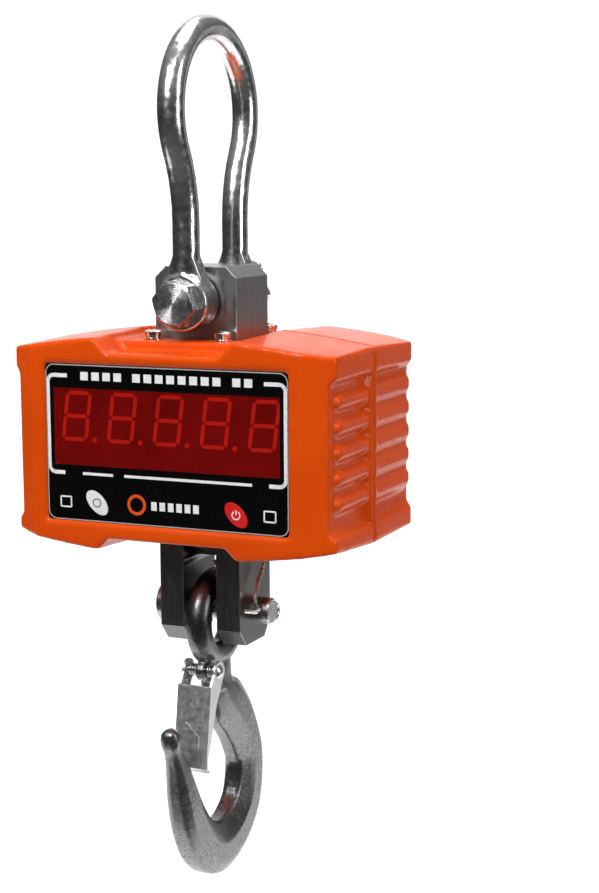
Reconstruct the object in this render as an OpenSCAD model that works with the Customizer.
// Crane scale: a shackle, a load-cell bar with a clevis, a two-part die-cast housing with a lit
// display, and a swinging hook with a sprung latch.
// Millimetres. +Z is up and the front panel faces -Y. The origin is the crane-hook seat, at the
// inner top of the shackle bow. Every module draws around the middle of the front panel, and
// placed() moves it down by the seat height.

/* [Placement] */
// Height of the crane-hook seat above the middle of the front panel
seat_height = 230; // [226:1:236]

/* [Shackle] */
// Diameter of the shackle's round rod
rod_d = 16; // [14:0.5:17]
// Centreline radius of the bow
bow_r = 48; // [44:0.5:50]
// Distance of each leg's centreline from the middle
leg_y = 32; // [31:0.5:34]
// Centreline radius where the bow runs into the legs
flare_r = 85; // [75:1:95]
// Outer radius of the shackle's eyes
eye_r = 16.5; // [15:0.5:17.5]
// Height of the shackle bolt above the middle of the panel
bolt_z = 80.8; // [79:0.2:82]
// Diameter of the shackle bolt
bolt_d = 16; // [14:0.5:16]

/* [Load-cell bar] */
// Width of the bar, across the scale
bar_w = 53; // [50:0.5:54]
// Depth of the bar, front to back
bar_d = 42.4; // [40:0.2:42.6]
// Top of the bar
bar_top = 101; // [99:0.5:103]
// Bottom of the clevis
bar_bottom = -125; // [-128:0.5:-122]
// Width of the clevis slot
slot_w = 22; // [20:0.5:24]
// Top of the clevis slot
slot_roof = -72; // [-74:0.5:-70]
// Height of the clevis pin
pin_z = -105.5; // [-107:0.5:-104]
// Diameter of the clevis pin
pin_d = 16; // [14:0.5:16]

/* [Housing] */
// Half width at the seam
half_w = 104; // [102:0.5:106]
// Front plane
front_y = -64.6; // [-66:0.2:-64]
// Rear plane
rear_y = 74; // [73:0.5:76]
// Seam between the front and rear shells
seam_y = 0; // [-2:0.5:4]
// Radius of the crowned top and bottom
crown_r = 560; // [500:10:620]
// Highest point of the crown, at the seam
crown_top = 65.6; // [65:0.2:67]
// Lowest point of the crown, at the seam
crown_bottom = -68.6; // [-70:0.2:-67]
// Spacing of the grip ribs
rib_pitch = 14.4; // [14:0.1:14.6]

/* [Panel] */
// Width of the recess for the panel
panel_w = 157.2; // [155:0.2:158]
// Height of the recess for the panel
panel_h = 93.4; // [92:0.2:94]
// Height of one display digit
digit_h = 30.3; // [28:0.1:31]
// Spacing of the display digits
digit_pitch = 30.2; // [30:0.1:30.5]
// Travel of a key
key_travel = 0.5; // [0.3:0.1:0.5]

/* [Hook] */
// Radius of the hole in the hook's eye
hook_hole_r = 15.2; // [15:0.1:16]
// Radius of the eye's round section
hook_eye_tube = 7.8; // [7:0.1:8]
// Gap between the clevis pin and the hook's eye
hang_gap = 0.3; // [0.3:0.1:0.6]
// Distance of the latch pivot in front of the middle
latch_y = -18; // [-19:0.5:-17]
// Height of the latch pivot
latch_z = -141.6; // [-142:0.2:-141]

/* [Hidden] */
$fn = 48;
past = 1;             // how far a cut runs past the face it opens
far = 300;            // longer than anything it cuts
orange = [0.80, 0.24, 0.05];
steel = [0.62, 0.62, 0.63];
zinc = [0.70, 0.70, 0.72];
black = [0.06, 0.06, 0.07];

// Shackle
bow_z = seat_height - bow_r + rod_d / 2;
flare_angle = acos((leg_y + flare_r) / (bow_r + flare_r));
flare_z = bow_z - (bow_r + flare_r) * sin(flare_angle);
neck_z = 110;         // where a leg starts to widen into its eye
neck_t = 11;          // thickness of the web between a leg and its eye
eye_t = rod_d + 1;
bolt_hole_d = bolt_d + 0.6;
bolt_head_h = 10;
bolt_hex = 24;        // across the flats
bolt_head_turn = 12;
bolt_end_y = 62;
nut_h = 14;
eye_outer_y = leg_y + eye_t / 2;
cotter_y = eye_outer_y + nut_h + 3.5;
cotter_r = 1.5;

// Load-cell bar
turning_gap = 0.06;   // radial clearance of the bar on the shackle bolt
top_chamfer_w = 7;
top_chamfer_h = 6.5;
foot_chamfer_y = 8.5;
foot_chamfer_z = 10;
slot_corner_r = 6;
slot_mouth = [12, 13];  // depth and height of the slope at each end of the slot's roof
gauge_r = 10;
gauge_depth = 7;
pin_head_r = 12;
pin_head_t = 9;
pin_end_x = 38;
pin_cotter_x = 33;

// Brackets and screws that carry the housing
bracket_t = 3;
bracket_w = 62;
bracket_reach = 21;
bracket_leg = 31;
screw_x = 22.5;
screw_y = 32;
screw_r = 2.5;
pad_z = 59;           // raised pad around the bar
pad_y = 44;
flat_washer_t = 1;
spring_washer_t = 1.3;

// Housing
corner_x = 102.7;     // ear corners
corner_in = 9.6;      // depth of the slanted strips beside the front and rear faces
fold_x = 86;          // fold lines of the front and rear faces
recess_x = 98.8;      // floor of the ribbed recess
recess_low = -45;
recess_high = 38;
rim_w = 4;            // flush rim beside the seam
wall = 4.5;
front_wall = 6;
channel_x = 35.5;     // half width of the channel floor
channel_top_x = 44;
channel_z = 53;
notch_x = 38;         // the same in the bottom
notch_bottom_x = 47;
notch_z = -55.5;
bar_opening = 0.6;    // gap between the bar and the shells
seam_groove = 1;
// Slope of the crown away from the seam, in degrees: top and bottom of each shell
front_slope = [1.8, 4.2];
rear_slope = [2.4, 0.4];
boss_x = 85;
boss_z = 40;
boss_r = 6.5;
shell_screw_r = 2;
shell_screw_head_y = 19;
shell_screw_len = 34;

// Front panel and what lies behind it
panel_t = 1.2;
panel_face = front_y + 1.8;
panel_back = panel_face + panel_t;
inner_front = front_y + front_wall;
window_x = 72.4;
window_low = -13.1;
window_high = 32;
window_t = 2;
zero_pos = [-44.5, -34.5];
power_pos = [45.2, -35.5];
key_long = 8.7;
key_short = 5;
key_gap = 0.3;
key_proud = 0.5;
key_t = 0.9;
digit_x = 2;
digit_z = 15.1;
led_face = inner_front + 0.3;
led_t = 8;
board_y = led_face + led_t;
board_t = 1.6;
board_x = 77;
board_low = -42;
board_high = 43;
standoff_x = 71.5;
standoff_z = [-37.5, 39];
switch_h = 3.5;
plunger_h = 2.2;

// Rear of the housing
inner_rear = rear_y - front_wall;
door_x = 58;
door_low = -44;
door_high = 38;
door_t = 2.6;
gasket_t = 0.8;
door_lip = 6;
battery_x = 46;
battery_low = -34;
battery_high = 32;
battery_front = bar_d / 2 + 3.2;
battery_rear = inner_rear - 1.5;
socket_x = 71;
socket_z = -18;
socket_bore_r = 2.8;
socket_pin_r = 1.05;

// Hook and latch, in the plane across the scale's middle
hook_eye_z = pin_z - (hook_hole_r - pin_d / 2 - hang_gap);
// Stations down the hook: y, z, half width in the plane, half thickness
hook_stations = [[0, -131, 8.6, 6.4], [-1, -141, 10.5, 7.8], [-1, -150, 10.5, 8.2],
    [1, -158, 12.5, 8.8], [8, -167, 16.5, 9.6], [20, -180, 16.2, 10.2], [30, -196, 15, 10.5],
    [35, -213, 14.5, 10.6], [30, -237, 16, 10.6], [13, -252, 17, 10.5], [-8, -256, 16.6, 10.4],
    [-26, -246.5, 15, 10], [-38, -230, 13, 9.5], [-45.5, -212, 10.4, 8.6], [-50.5, -197, 8, 7],
    [-55, -186.5, 5.8, 5.4], [-58, -180, 4.8, 4.8], [-59.5, -175.5, 6, 6], [-60.3, -171.5, 6.3, 6.3],
    [-61, -167.8, 4.8, 4.8], [-61.3, -166, 2.4, 2.4]];
station_steps = 3;
hook_sides = 20;
lug_t = 5;
lug_r = 6.2;
ear_outer_x = 11;
sheet = 1.5;
latch_top = [-28.4, -148];
latch_foot = [-35.4, -196];
rivet_r = 2.5;
coil_r = 3.2;
coil_wire_r = 0.65;
coil_turns = 3;
coil_x = 3.6;

// ---------- helpers ----------
module placed() translate([0, 0, -seat_height]) children();
module along_x() rotate([0, 90, 0]) children();
module along_y() rotate([-90, 0, 0]) children();
// A flat shape drawn in x and z, extruded along Y from y0 to y1
module extrude_y(y0, y1) translate([0, y1, 0]) rotate([90, 0, 0]) linear_extrude(y1 - y0) children();
// A flat shape drawn in y and z, extruded along X from x0 to x1
module extrude_x(x0, x1) translate([x0, 0, 0]) rotate([90, 0, 90]) linear_extrude(x1 - x0) children();
module both_sides() {
    children();
    mirror([1, 0, 0]) children();
}
module box(low, high) translate(low) cube(high - low);

function unit(v) = v / norm(v);
function curve(p0, p1, p2, p3, u) = 0.5 * (2 * p1 + (p2 - p0) * u
    + (2 * p0 - 5 * p1 + 4 * p2 - p3) * u * u + (3 * p1 - p0 - 3 * p2 + p3) * u * u * u);
// A smooth run of points through the given ones
function smooth(p, steps) = let(n = len(p)) concat(
    [for (i = [0:n - 2]) for (k = [0:steps - 1])
        curve(p[max(i - 1, 0)], p[i], p[i + 1], p[min(i + 2, n - 1)], k / steps)], [p[n - 1]]);
function tangent(p, i) = unit(p[min(i + 1, len(p) - 1)] - p[max(i - 1, 0)]);
// Faces of a closed tube of rings, each with n points
function tube_faces(rings, n) = concat([[for (j = [n - 1:-1:0]) j]],
    [[for (j = [0:n - 1]) (rings - 1) * n + j]],
    [for (i = [0:rings - 2]) for (j = [0:n - 1])
        [i * n + j, i * n + (j + 1) % n, (i + 1) * n + (j + 1) % n, (i + 1) * n + j]]);
// A round wire along points; ref is a direction that the wire never runs along
module wire(p, r, ref = [0, 0, 1], n = 8) {
    points = [for (i = [0:len(p) - 1]) let(t = tangent(p, i), side = unit(cross(t, ref)),
        up = cross(side, t)) for (j = [0:n - 1])
        p[i] + r * (cos(360 * j / n) * side + sin(360 * j / n) * up)];
    polyhedron(points, tube_faces(len(p), n));
}

// Points round part of a circle in y and z
function arc(y, z, r, a0, a1, steps) = [for (i = [0:steps]) let(a = a0 + (a1 - a0) * i / steps)
    [0, y + r * cos(a), z + r * sin(a)]];
function inner(p) = [for (i = [1:len(p) - 2]) p[i]];

module hex_prism(across, h) cylinder(d = across / cos(30), h = h, $fn = 6);
// Hexagon with its outer corners turned off at z = 0
module hex_head(across, h) intersection() {
    hex_prism(across, h);
    cylinder(r1 = across / 2 - 0.3, r2 = across / 2 + 2 * h, h = h);
}
// Cross-recess pan-head screw: the head stands on z = 0 and the shank runs down
module pan_screw(head_r, head_h, shank_r, shank) difference() {
    union() {
        intersection() {
            cylinder(r = head_r, h = head_h);
            translate([0, 0, head_h - 2.2 * head_r]) sphere(r = 2.2 * head_r);
        }
        translate([0, 0, -shank]) cylinder(r = shank_r, h = shank + past / 2);
    }
    for (a = [0, 90]) rotate([0, 0, a])
        translate([-head_r * 0.55, -head_r * 0.11, head_h * 0.45])
            cube([head_r * 1.1, head_r * 0.22, head_h]);
}
// Split pin on z = 0: an eye behind the hole, two legs bent apart in front of it
module cotter(reach, r) {
    eye = 3.2 * r;
    translate([0, 0, -reach - eye]) rotate([90, 0, 0]) rotate_extrude() translate([eye, 0]) circle(r = r);
    translate([0, 0, -reach - r]) cylinder(r = r, h = 2 * reach + 2 * r);
    for (s = [-1, 1]) wire([[0, 0, reach - 1], [s * 0.6 * r, 0, reach + r], [s * 3 * r, 0, reach + 3 * r],
        [s * 6 * r, 0, reach + 4 * r]], r * 0.8, [0, 1, 0]);
}

// ---------- shackle ----------
// The rod's centreline: up the rear leg, round the bow and down the front leg
rod_line = concat([[0, leg_y, bolt_z + rod_d / 2], [0, leg_y, neck_z]],
    arc(leg_y + flare_r, flare_z, flare_r, 180, 180 - flare_angle, 5),
    inner(arc(0, bow_z, bow_r, -flare_angle, 180 + flare_angle, 40)),
    arc(-leg_y - flare_r, flare_z, flare_r, flare_angle, 0, 5),
    [[0, -leg_y, neck_z], [0, -leg_y, bolt_z + rod_d / 2]]);
module shackle_eye() {
    extrude_y(leg_y - neck_t / 2, leg_y + neck_t / 2) polygon([[-eye_r + 0.6, bolt_z + 4],
        [-neck_t / 2, neck_z], [neck_t / 2, neck_z], [eye_r - 0.6, bolt_z + 4]]);
    translate([0, leg_y - eye_t / 2, bolt_z]) along_y() cylinder(r = eye_r, h = eye_t);
}
module shackle_bow() color(zinc) placed() difference() {
    union() {
        wire(rod_line, rod_d / 2, [1, 0, 0], 24);
        shackle_eye();
        mirror([0, 1, 0]) shackle_eye();
    }
    translate([0, -far / 2, bolt_z]) along_y() cylinder(d = bolt_hole_d, h = far);
}
module shackle_bolt() color(zinc) placed() translate([0, 0, bolt_z]) difference() {
    union() {
        translate([0, -eye_outer_y - bolt_head_h, 0]) along_y() rotate([0, 0, bolt_head_turn])
            hex_head(bolt_hex, bolt_head_h);
        translate([0, -eye_outer_y - past, 0]) along_y() cylinder(d = bolt_d, h = bolt_end_y + eye_outer_y);
    }
    translate([0, cotter_y, -bolt_d]) cylinder(r = cotter_r + 0.3, h = 2 * bolt_d);
}
module shackle_nut() color(zinc) placed() translate([0, eye_outer_y, bolt_z]) along_y() difference() {
    translate([0, 0, nut_h]) mirror([0, 0, 1]) hex_head(bolt_hex, nut_h);
    translate([0, 0, -past]) cylinder(d = bolt_d + 0.1, h = nut_h + 2 * past);
}
module shackle_split_pin() color(steel) placed() translate([0, cotter_y, bolt_z]) rotate([180, 0, 0])
    cotter(bolt_d / 2 + 1.6, cotter_r);

// ---------- load-cell bar and clevis ----------
module bar_front() difference() {
    polygon([[-bar_w / 2, bar_bottom], [bar_w / 2, bar_bottom], [bar_w / 2, bar_top - top_chamfer_h],
        [bar_w / 2 - top_chamfer_w, bar_top], [-bar_w / 2 + top_chamfer_w, bar_top],
        [-bar_w / 2, bar_top - top_chamfer_h]]);
    translate([-slot_w / 2, bar_bottom - past])
        square([slot_w, slot_roof - slot_corner_r - bar_bottom + past]);
    translate([-slot_w / 2 + slot_corner_r, slot_roof - slot_corner_r - past])
        square([slot_w - 2 * slot_corner_r, slot_corner_r + past]);
    for (s = [-1, 1]) translate([s * (slot_w / 2 - slot_corner_r), slot_roof - slot_corner_r])
        circle(r = slot_corner_r);
}
module bar_side() polygon([[-bar_d / 2, bar_bottom + foot_chamfer_z],
    [-bar_d / 2 + foot_chamfer_y, bar_bottom], [bar_d / 2 - foot_chamfer_y, bar_bottom],
    [bar_d / 2, bar_bottom + foot_chamfer_z], [bar_d / 2, bar_top], [-bar_d / 2, bar_top]]);
module load_cell() color(steel) placed() difference() {
    intersection() {
        extrude_y(-bar_d / 2, bar_d / 2) bar_front();
        extrude_x(-bar_w / 2, bar_w / 2) bar_side();
    }
    for (s = [-1, 1]) extrude_x(-slot_w / 2, slot_w / 2) polygon([
        [s * (bar_d / 2 + past), slot_roof + slot_mouth[1]], [s * bar_d / 2, slot_roof + slot_mouth[1]],
        [s * (bar_d / 2 - slot_mouth[0]), slot_roof - past], [s * (bar_d / 2 + past), slot_roof - past]]);
    translate([0, -far / 2, bolt_z]) along_y() cylinder(r = bolt_d / 2 + turning_gap, h = far);
    translate([-far / 2, 0, pin_z]) along_x() cylinder(r = pin_d / 2 + turning_gap, h = far);
    for (s = [0, 180]) rotate([0, 0, s]) {
        translate([0, -bar_d / 2 - past, 0]) along_y() cylinder(r = gauge_r, h = gauge_depth + past);
        for (x = [-14, 14]) translate([x, -bar_d / 2 - past, 38]) along_y() cylinder(r = 2.1, h = 11);
    }
    for (x = [-14, 14]) translate([x, bar_d / 2 + past - 11, -40]) along_y() cylinder(r = 1.6, h = 11);
}
module gauge_covers() color("gray") placed() {
    for (s = [0, 180]) rotate([0, 0, s]) difference() {
        translate([0, -bar_d / 2, 0]) along_y() cylinder(r = gauge_r, h = 1.5);
        if (s == 0) translate([0, -bar_d / 2 - past, 0]) along_y() cylinder(r = 2.1, h = 4);
    }
}
module load_cell_cable() color(black) placed()
    wire(smooth([[0, -17, 0], [0, -24, 0], [2, -30, -3], [8, -35, -9], [16, -38, -12.5],
        [20, -41.5, -13], [20, -45.6, -13]], 3), 2, [1, 0, 0]);
module bracket() difference() {
    union() {
        box([-bracket_w / 2, -bar_d / 2 - bracket_t, pad_z - bracket_t - bracket_leg],
            [bracket_w / 2, -bar_d / 2, pad_z - bracket_t]);
        box([-bracket_w / 2, -bar_d / 2 - bracket_reach, pad_z - 2 * bracket_t],
            [bracket_w / 2, -bar_d / 2, pad_z - bracket_t]);
    }
    for (s = [-1, 1]) {
        translate([s * screw_x, -screw_y, 0]) cylinder(r = screw_r + 0.05, h = far);
        translate([s * 14, -bar_d, 38]) along_y() cylinder(r = 2.3, h = bar_d);
    }
}
module front_bracket() color(steel) placed() bracket();
module rear_bracket() color(steel) placed() rotate([0, 0, 180]) bracket();
module bracket_screws() color(zinc) placed() for (s = [0, 180]) rotate([0, 0, s]) for (x = [-14, 14])
    translate([x, -bar_d / 2 - bracket_t, 38]) rotate([90, 0, 0]) pan_screw(4, 2.6, 2.05, 10);
module clevis_pin() color(zinc) placed() translate([0, 0, pin_z]) difference() {
    union() {
        translate([-bar_w / 2 - past, 0, 0]) along_x() cylinder(d = pin_d, h = pin_end_x + bar_w / 2);
        translate([-bar_w / 2 - pin_head_t, 0, 0]) along_x() intersection() {
            cylinder(r = pin_head_r, h = pin_head_t);
            cylinder(r1 = pin_head_r - 1.2, r2 = pin_head_r + pin_head_t * 2, h = pin_head_t);
        }
        translate([pin_end_x - past, 0, 0]) along_x() cylinder(r1 = pin_d / 2, r2 = pin_d / 2 - 1, h = past);
    }
    translate([pin_cotter_x, 0, 0]) rotate([-15, 0, 0]) translate([0, -pin_d, 0]) along_y()
        cylinder(r = cotter_r + 0.3, h = 2 * pin_d);
}
// The eye is behind the pin; one leg is bent up along the bar and the other back against it
module clevis_split_pin() color(steel) placed() {
    translate([pin_cotter_x, 0, pin_z]) rotate([-15, 0, 0]) {
        translate([0, -pin_d / 2 - 1, 0]) along_y() cylinder(r = cotter_r, h = pin_d + 2.5);
        translate([0, pin_d / 2 + 6, 0]) rotate([0, 90, 0]) rotate_extrude() translate([4.5, 0])
            circle(r = cotter_r);
    }
    wire(smooth([[33, -7.2, -103.8], [33, -11.2, -102], [31.8, -11.6, -96], [31, -6, -88], [31, 1, -80],
        [31.4, 4, -73]], 3), 1.3, [1, 0, 0]);
    wire(smooth([[33, -7.2, -103.8], [32.6, -11.6, -104], [30.5, -15, -103.2], [28.6, -20, -102]], 2), 1.3);
}

// ---------- housing ----------
// Channel polygon in x and z: flat floor, slanted walls; grow moves every side outwards
module channel(floor_x, top_x, floor_z, side, grow) polygon([
    [-top_x - grow, side * 90], [-top_x - grow, floor_z + side * (9 - grow / 2)],
    [-floor_x - grow * 0.6, floor_z - side * grow], [floor_x + grow * 0.6, floor_z - side * grow],
    [top_x + grow, floor_z + side * (9 - grow / 2)], [top_x + grow, side * 90]]);
// The crowned top and bottom of one shell, pivoted at the seam
module crowned(face, inset) {
    s = sign(face - seam_y);
    slope = s < 0 ? front_slope : rear_slope;
    intersection() {
        translate([0, seam_y, crown_top]) rotate([-s * slope[0], 0, 0]) translate([0, -far, -crown_r])
            along_y() cylinder(r = crown_r - inset, h = 2 * far, $fn = 96);
        translate([0, seam_y, crown_bottom]) rotate([s * slope[1], 0, 0]) translate([0, -far, crown_r])
            along_y() cylinder(r = crown_r - inset, h = 2 * far, $fn = 96);
        extrude_y(-far / 2, far / 2) difference() {
            square([2 * (half_w - inset), far], center = true);
            channel(channel_x, channel_top_x, channel_z, 1, inset);
            channel(notch_x, notch_bottom_x, notch_z, -1, inset);
        }
    }
}
// The housing's outline at the seam; inset moves its edge inwards
module outline(inset = 0) difference() {
    intersection() {
        square([2 * (half_w - inset), far], center = true);
        translate([0, crown_top - crown_r]) circle(r = crown_r - inset, $fn = 96);
        translate([0, crown_bottom + crown_r]) circle(r = crown_r - inset, $fn = 96);
    }
    channel(channel_x, channel_top_x, channel_z, 1, inset);
    channel(notch_x, notch_bottom_x, notch_z, -1, inset);
}
// The housing seen from above, from the seam to one face; inset as above
module plan(face, inset = 0) {
    s = sign(face);
    polygon([[-half_w + inset, seam_y], [-corner_x + inset, face - s * corner_in],
        [-fold_x, face - s * inset], [fold_x, face - s * inset],
        [corner_x - inset, face - s * corner_in], [half_w - inset, seam_y]]);
}
module pad() box([-channel_top_x, -pad_y, channel_z - past], [channel_top_x, pad_y, pad_z]);
module blank(face) {
    intersection() {
        translate([0, 0, -far / 2]) linear_extrude(far) plan(face);
        union() {
            crowned(face, 0);
            pad();
        }
    }
}
module cavity(face, depth) intersection() {
    translate([0, 0, -far / 2]) linear_extrude(far) plan(face, depth);
    union() {
        intersection() {
            crowned(face, wall);
            cube([2 * (recess_x - wall + 0.7), far, far], center = true);
        }
        box([-channel_x + 2, -pad_y + 1.5, 0], [channel_x - 2, pad_y - 1.5, pad_z - bracket_t]);
    }
}
module bar_hole() box([-bar_w / 2 - bar_opening, -bar_d / 2 - bar_opening, -far / 2],
    [bar_w / 2 + bar_opening, bar_d / 2 + bar_opening, far / 2]);
// Side recess with slanted ends, between y0 and y1
module side_recess(y0, y1) both_sides() extrude_y(y0, y1) polygon([[recess_x, recess_low + 1],
    [recess_x, recess_high], [recess_x + 8, recess_high + 8], [recess_x + 8, recess_low - 7]]);
// Slope from the recess floor up to the flush rim
module rim_slope(y_rim, y_floor) both_sides() translate([0, 0, recess_low])
    linear_extrude(recess_high - recess_low)
        polygon([[recess_x - 1, y_floor], [half_w - 0.6, y_rim], [recess_x - 1, y_rim]]);
module front_ribs() both_sides() for (i = [-2:2]) translate([recess_x - 0.9, 0, i * rib_pitch - 0.1]) {
    translate([0, -46, 0]) sphere(r = 5);
    translate([0, -46, 0]) along_y() cylinder(r = 5, h = seam_y - rim_w + 46);
}
module rear_ribs() both_sides() for (i = [-2:2])
    translate([recess_x - 4.2, seam_y + rim_w, i * rib_pitch - 0.1]) along_y()
         cylinder(r = 8.6, h = rear_y - corner_in - seam_y - rim_w - 4);
module seam_step(y0, y1) extrude_y(y0, y1) difference() {
    square(far, center = true);
    outline(seam_groove);
}
module boss_places() for (x = [-boss_x, boss_x]) for (z = [-boss_z, boss_z]) translate([x, 0, z]) children();
module top_screw_places() for (x = [-screw_x, screw_x]) for (y = [-screw_y, screw_y])
    translate([x, y, pad_z]) children();
module key_shape(long, short) rotate(-45) scale([long / short, 1]) circle(r = short);

module front_shell() color(orange) placed() difference() {
    union() {
        difference() {
            blank(front_y);
            cavity(front_y, front_wall);
            side_recess(-far / 2, seam_y - rim_w);
        }
        intersection() {
            union() {
                front_ribs();
                rim_slope(seam_y - rim_w, seam_y - rim_w - 7);
            }
            translate([0, 0, -far / 2]) linear_extrude(far) plan(front_y);
            extrude_y(-far / 2, far / 2) square([2 * half_w, 2 * (recess_high + 6)], center = true);
        }
        boss_places() translate([0, inner_front - past, 0]) along_y()
            cylinder(r = boss_r - 1, h = seam_y - inner_front + past);
    }
    bar_hole();
    seam_step(seam_y - 0.6, seam_y + past);
    extrude_y(front_y - past, panel_back) square([panel_w, panel_h], center = true);
    extrude_y(front_y, 0) translate([-window_x, window_low]) square([2 * window_x, window_high - window_low]);
    for (p = [zero_pos, power_pos]) translate([p[0], front_y, p[1]]) along_y()
        cylinder(r = 4, h = front_wall + past);
    boss_places() translate([0, shell_screw_head_y - shell_screw_len - past, 0]) along_y()
        cylinder(r = shell_screw_r + 0.05, h = far);
    top_screw_places() translate([0, 0, -bracket_t - past]) cylinder(r = screw_r + 0.3, h = far);
    cavity_clear();
}
// Nothing of the ribs or bosses may fill the space around the bar
module cavity_clear() box([-33, -pad_y + 2, pad_z - 8], [33, seam_y + past, pad_z - bracket_t]);
module rear_shell() color(orange) placed() difference() {
    union() {
        difference() {
            blank(rear_y);
            cavity(rear_y, front_wall);
            side_recess(seam_y + rim_w, far / 2);
        }
        intersection() {
            rear_ribs();
            translate([0, 0, -far / 2]) linear_extrude(far) difference() {
                plan(rear_y);
                square([2 * (recess_x - wall + 0.8), far], center = true);
            }
        }
        boss_places() translate([0, seam_y, 0]) along_y()
            cylinder(r = boss_r, h = inner_rear - seam_y + past);
    }
    bar_hole();
    seam_step(seam_y - past, seam_y + 0.6);
    gasket_ring(seam_y - past, seam_y + 1.5, 0);
    boss_places() {
        translate([0, seam_y - past, 0]) along_y() cylinder(r = shell_screw_r + 0.3, h = far);
        translate([0, shell_screw_head_y, 0]) along_y() cylinder(r = 4.6, h = far);
    }
    box([-door_x, rear_y - door_t - gasket_t, door_low], [door_x, rear_y + past, door_high]);
    box([-door_x + door_lip, inner_rear - past, door_low + door_lip],
        [door_x - door_lip, rear_y, door_high - door_lip]);
    door_screw_places() translate([0, inner_rear - 2, 0]) along_y() cylinder(r = 1.55, h = far);
    top_screw_places() translate([0, 0, -bracket_t - past]) cylinder(r = screw_r + 0.3, h = far);
    translate([socket_x, inner_rear - past, socket_z]) along_y() cylinder(r = 5.6, h = front_wall + 2 * past);
}
module gasket_ring(y0, y1, shrink) difference() {
    extrude_y(y0, y1) difference() {
        outline(1.6 + shrink);
        outline(3.2 - shrink);
    }
    box([-bar_w / 2 - 6, -far, -far / 2], [bar_w / 2 + 6, far, far / 2]);
}
module housing_gasket() color(black) placed() gasket_ring(seam_y, seam_y + 1.5, 0);
module shell_screws() color(zinc) placed() boss_places() translate([0, shell_screw_head_y, 0])
    rotate([-90, 0, 0]) pan_screw(4, 3, shell_screw_r, shell_screw_len);
module door_screw_places() for (x = [-door_x + 3, door_x - 3]) for (z = [door_low + 3, door_high - 3])
    translate([x, 0, z]) children();
module battery_door() color(orange) placed() difference() {
    box([-door_x + 0.2, rear_y - door_t, door_low + 0.2], [door_x - 0.2, rear_y, door_high - 0.2]);
    door_screw_places() translate([0, inner_rear, 0]) along_y() cylinder(r = 1.8, h = far);
    door_screw_places() translate([0, rear_y - 1.3, 0]) along_y() cylinder(r1 = 1.8, r2 = 3, h = 1.3 + 0.01);
}
module battery_door_gasket() color(black) placed() extrude_y(rear_y - door_t - gasket_t,
    rear_y - door_t) difference() {
    translate([-door_x + 0.2, door_low + 0.2]) square([2 * door_x - 0.4, door_high - door_low - 0.4]);
    translate([-door_x + door_lip, door_low + door_lip])
        square([2 * (door_x - door_lip), door_high - door_low - 2 * door_lip]);
    for (x = [-door_x + 3, door_x - 3]) for (z = [door_low + 3, door_high - 3])
        translate([x, z]) circle(r = 1.8);
}
module battery_door_screws() color(zinc) placed() door_screw_places() difference() {
    union() {
        translate([0, rear_y - 8, 0]) along_y() cylinder(r = 1.5, h = 7.5);
        translate([0, rear_y - 1.3, 0]) along_y() cylinder(r1 = 1.7, r2 = 2.9, h = 1.2);
    }
    for (a = [45, 135]) rotate([0, a, 0]) box([-1.6, rear_y - 0.9, -0.3], [1.6, rear_y + past, 0.3]);
}
module top_screws() color(zinc) placed() top_screw_places() translate([0, 0, flat_washer_t + spring_washer_t])
    pan_screw(5, 3.6, screw_r, 10);
module top_spring_washers() color(steel) placed() top_screw_places()
    translate([0, 0, flat_washer_t]) difference() {
    cylinder(r = 4.4, h = spring_washer_t);
    translate([0, 0, -past]) cylinder(r = screw_r + 0.1, h = 4);
    translate([0, -0.4, -past]) cube([6, 0.8, 4]);
}
module top_flat_washers() color(zinc) placed() top_screw_places() difference() {
    cylinder(r = 5.3, h = flat_washer_t);
    translate([0, 0, -past]) cylinder(r = screw_r + 0.1, h = 4);
}

// ---------- front panel, keys and electronics ----------
module front_panel() color(black) placed() extrude_y(panel_face, panel_back) difference() {
    square([panel_w - 0.4, panel_h - 0.4], center = true);
    translate([-window_x, window_low]) square([2 * window_x, window_high - window_low]);
    for (p = [zero_pos, power_pos]) translate(p) key_shape(key_long + key_gap, key_short + key_gap);
}
module display_window() color([0.4, 0.02, 0.02, 0.6]) placed() extrude_y(panel_face, panel_face + window_t)
    translate([-window_x, window_low]) square([2 * window_x, window_high - window_low]);
module key(p) {
    face = panel_face - key_proud;
    extrude_y(face, face + key_t) translate(p) key_shape(key_long, key_short);
    translate([p[0], face + key_t / 2, p[1]]) along_y()
        cylinder(r = 3, h = board_y - switch_h - plunger_h - key_travel - 0.3 - face - key_t / 2);
}
module zero_key() color("white") placed() key(zero_pos);
module power_key() color("red") placed() key(power_pos);
module key_switches() color(black) placed() for (p = [zero_pos, power_pos]) {
    box([p[0] - 3, board_y - switch_h, p[1] - 3], [p[0] + 3, board_y, p[1] + 3]);
    translate([p[0], board_y - switch_h - plunger_h, p[1]]) along_y()
            cylinder(r = 1.75, h = plunger_h + past / 2);
}
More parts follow.
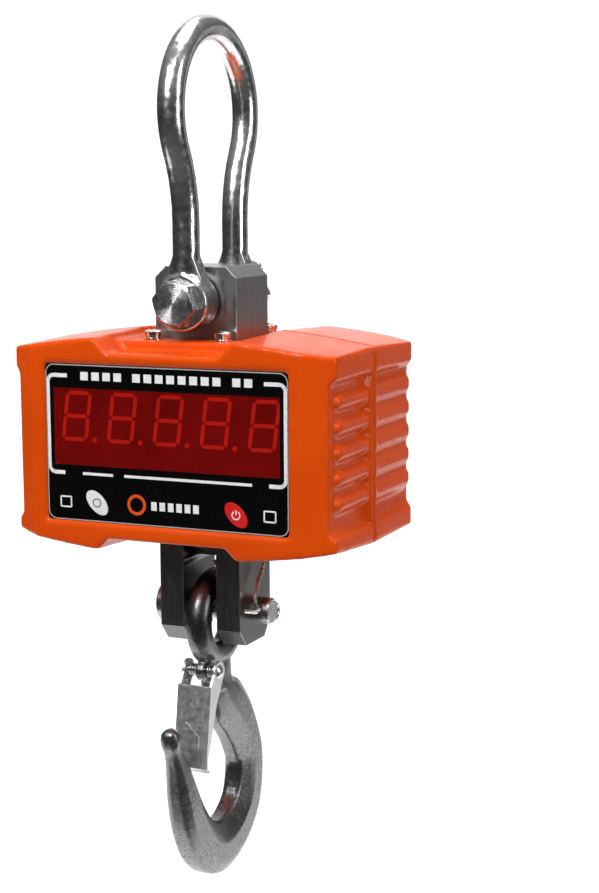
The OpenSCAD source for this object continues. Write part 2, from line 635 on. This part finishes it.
// One bar of a digit, lying along x from the middle, with pointed ends
module segment(long, thick) polygon([[-long / 2 + thick / 2, thick / 2], [-long / 2, 0],
    [-long / 2 + thick / 2, -thick / 2], [long / 2 - thick / 2, -thick / 2], [long / 2, 0],
    [long / 2 - thick / 2, thick / 2]]);
module digit_bars(h) {
    w = h * 0.5;
    long = h / 2 - 2.2;
    multmatrix([[1, tan(7.4), 0, 0], [0, 1, 0, 0], [0, 0, 1, 0]]) {
        for (z = [-h / 2 + 1.5, 0, h / 2 - 1.5]) translate([0, z]) segment(w - 1, 3);
        for (x = [-w / 2, w / 2]) for (z = [-1, 1])
            translate([x, z * (h / 4 - 0.75)]) rotate(90) segment(long, 3);
    }
    translate([w / 2 + 4, -h / 2 + 1.5]) circle(r = 1.7);
}
module led_digits() color([0.55, 0.06, 0.04]) placed() for (i = [-2:2])
    translate([digit_x + i * digit_pitch, 0, digit_z]) difference() {
        box([-digit_pitch / 2 + 0.15, led_face, -20], [digit_pitch / 2 - 0.15, board_y, 20]);
        extrude_y(led_face - past, led_face + 0.3) translate([-1.5, 0]) digit_bars(digit_h);
    }
module status_leds() color([0.6, 0.1, 0.1]) placed() for (x = [-30, -24, 2]) {
    translate([x, board_y - 4, -9.4]) along_y() cylinder(r = 1.5, h = 4);
    translate([x, board_y - 4, -9.4]) sphere(r = 1.5);
}
module remote_receiver() color(black) placed() {
    box([-46, board_y - 5, -12.4], [-39, board_y, -6.4]);
    translate([-42.5, board_y - 5, -9.4]) sphere(r = 2.4);
}
module display_board() color([0.05, 0.3, 0.12]) placed() difference() {
    box([-board_x, board_y, board_low], [board_x, board_y + board_t, board_high]);
    for (x = [-standoff_x, standoff_x]) for (z = standoff_z) translate([x, 0, z]) rotate([90, 0, 0])
        cylinder(r = 1.4, h = far);
}
module board_components() color("dimgray") placed() translate([0, board_y + board_t, 0]) {
    box([-12, 0, -30], [2, 2, -16]);
    box([14, 0, -17], [34, 3, -9]);
    box([-46, 0, 26], [-34, 6, 34]);
    box([30, 0, 10], [44, 2, 20]);
    box([-60, 0, -10], [-50, 2.4, 4]);
    translate([54, 0, 0]) along_y() cylinder(r = 4, h = 9);
    translate([54, 0, 14]) along_y() cylinder(r = 4, h = 9);
    translate([58, 0, -24]) along_y() cylinder(r = 6, h = 5.5);
}
module board_standoffs() color("goldenrod") placed() for (x = [-standoff_x, standoff_x]) for (z = standoff_z)
    translate([x, inner_front, z]) along_y() difference() {
        cylinder(r = 2.8, h = board_y - inner_front, $fn = 6);
        translate([0, 0, past]) cylinder(r = 1.25, h = far);
    }
module board_screws() color(zinc) placed() for (x = [-standoff_x, standoff_x]) for (z = standoff_z)
    translate([x, board_y + board_t, z]) rotate([-90, 0, 0]) pan_screw(2.6, 1.8, 1.2, 7);

// ---------- battery and charging ----------
module battery() color([0.2, 0.22, 0.26]) placed() difference() {
    union() {
        box([-battery_x, battery_front, battery_low], [battery_x, battery_rear, battery_high]);
        for (x = [-34, 34]) box([x - 3, 34, battery_high - past], [x + 3, 35, battery_high + 6]);
    }
    both_sides() box([battery_x - 0.8, battery_front - past, battery_high - 8],
        [battery_x + past, battery_rear + past, battery_high - 6]);
}
module battery_cradle() color(steel) placed() difference() {
    union() {
        box([-battery_x + 4, bar_d / 2, battery_low - 11],
            [battery_x - 4, bar_d / 2 + 1.5, battery_low + 16]);
        box([-battery_x + 4, bar_d / 2, battery_low - 1.5], [battery_x - 4, battery_rear, battery_low]);
        box([-battery_x + 4, bar_d / 2, battery_low - 1.5], [battery_x - 4, bar_d / 2 + 3, battery_low]);
    }
    for (x = [-14, 14]) translate([x, 0, -40]) along_y() cylinder(r = 1.8, h = far);
}
module cradle_screws() color(zinc) placed() for (x = [-14, 14]) translate([x, bar_d / 2 + 1.5, -40])
    rotate([-90, 0, 0]) pan_screw(3, 2, 1.5, 9);
module battery_leads() color([0.5, 0.05, 0.05]) placed() {
    wire(smooth([[-34, 36.6, 36], [-36, 40, 40], [-42, 34, 44], [-44, 16, 44], [-44, -10, 42], [-44, -34, 38],
        [-43, -38.5, 32], [-43, -42.6, 31]], 3), 1, [1, 0, 0]);
    wire(smooth([[34, 36.6, 36], [36, 40, 41], [42, 34, 45], [44, 14, 45], [40, -20, 40], [10, -36, 30],
        [-30, -37, 29], [-38, -39.5, 29],
        [-38, -42.6, 29]], 3), 1, [0, 0, 1]);
}
module charger_socket() color(black) placed() translate([socket_x, 0, socket_z]) {
    difference() {
        union() {
            translate([0, rear_y - 16, 0]) along_y() cylinder(r = 5.5, h = 16.5);
            translate([0, rear_y, 0]) along_y() cylinder(r = 7.5, h = 1.6);
        }
        translate([0, rear_y - 8, 0]) along_y() cylinder(r = socket_bore_r, h = far);
    }
    translate([0, rear_y - 9, 0]) along_y() cylinder(r = socket_pin_r, h = 9);
}
module charger_socket_nut() color(zinc) placed() translate([socket_x, inner_rear - 3, socket_z])
    along_y() difference() {
    hex_prism(14, 3);
    translate([0, 0, -past]) cylinder(r = 5.5, h = 6);
}

// ---------- hook and latch ----------
function section(k) = sign(cos(k)) * pow(abs(cos(k)), 0.72);
module hook_shank() {
    s = smooth(hook_stations, station_steps);
    points = [for (i = [0:len(s) - 1]) let(t = unit([s[min(i + 1, len(s) - 1)][0] - s[max(i - 1, 0)][0],
        s[min(i + 1, len(s) - 1)][1] - s[max(i - 1, 0)][1]])) for (j = [0:hook_sides - 1])
        let(a = 360 * j / hook_sides, across = s[i][3] * section(a), out = s[i][2] * section(a - 90))
        [across, s[i][0] - out * t[1], s[i][1] + out * t[0]]];
    polyhedron(points, tube_faces(len(s), hook_sides));
}
module hook() color(zinc) placed() difference() {
    union() {
        translate([0, 0, hook_eye_z]) rotate([0, 90, 0]) rotate_extrude()
            translate([hook_hole_r + hook_eye_tube, 0]) circle(r = hook_eye_tube);
        hook_shank();
        extrude_x(-lug_t / 2, lug_t / 2) difference() {
            union() {
                translate([latch_y, latch_z]) circle(r = lug_r);
                polygon([[latch_y, latch_z + lug_r - 1], [-4, -133], [-4, -154],
                    [latch_y, latch_z - lug_r + 1]]);
            }
            translate([0, hook_eye_z]) circle(r = hook_hole_r + 2 * hook_eye_tube + 0.2);
        }
    }
    translate([-far / 2, latch_y, latch_z]) along_x() cylinder(r = rivet_r + 0.05, h = far);
}
module latch_ear() difference() {
    union() {
        translate([latch_y, latch_z]) circle(r = 6.6);
        polygon([[latch_y - 6.6, latch_z], [latch_top[0] - sheet, latch_top[1] - 1], latch_top - [sheet, 3],
            latch_foot + [-sheet, 4], latch_foot + [0.5, 4], [-22, -160], [latch_y + 6.4, latch_z - 1.5]]);
    }
    translate([latch_y, latch_z]) circle(r = rivet_r + 0.05);
}
module latch() color(zinc) placed() {
    for (x = [-ear_outer_x, ear_outer_x - sheet]) extrude_x(x, x + sheet) latch_ear();
    extrude_x(-ear_outer_x, ear_outer_x) polygon([latch_top - [sheet, 0], latch_top, latch_foot,
        latch_foot + [3, -3], latch_foot + [2, -4.2], latch_foot - [sheet, 0.6]]);
}
module latch_rivet() color(steel) placed() translate([0, latch_y, latch_z]) {
    translate([-ear_outer_x - past, 0, 0]) along_x() cylinder(r = rivet_r, h = 2 * ear_outer_x + 2 * past);
    both_sides() translate([ear_outer_x, 0, 0]) along_x() intersection() {
        cylinder(r = 4.4, h = 2.2);
        translate([0, 0, -3.6]) sphere(r = 5.8);
    }
}
// A torsion coil on each side of the lug: one end lies on the neck, the other reaches the latch
module latch_spring() color(steel) placed() both_sides() {
    wire(concat([[coil_x, latch_y + 5.6, latch_z - 13], [coil_x, latch_y + coil_r + 0.6, latch_z - 5]],
        [for (k = [0:16 * coil_turns]) let(a = 360 * k / 16) [coil_x + 4.7 * k / (16 * coil_turns),
            latch_y + coil_r * cos(a), latch_z + coil_r * sin(a)]],
        [[8.3, latch_y + coil_r - 1.4, latch_z - 4.6], [8.3, latch_y - 5.6, latch_z - 5.6]]),
        coil_wire_r, [1, 0, 0], 6);
}

shackle_bow();
shackle_bolt();
shackle_nut();
shackle_split_pin();
load_cell();
gauge_covers();
load_cell_cable();
front_bracket();
rear_bracket();
bracket_screws();
clevis_pin();
clevis_split_pin();
front_shell();
rear_shell();
housing_gasket();
shell_screws();
battery_door();
battery_door_gasket();
battery_door_screws();
top_screws();
top_spring_washers();
top_flat_washers();
front_panel();
display_window();
zero_key();
power_key();
key_switches();
led_digits();
status_leds();
remote_receiver();
display_board();
board_components();
board_standoffs();
board_screws();
battery();
battery_cradle();
cradle_screws();
battery_leads();
charger_socket();
charger_socket_nut();
hook();
latch();
latch_rivet();
latch_spring();
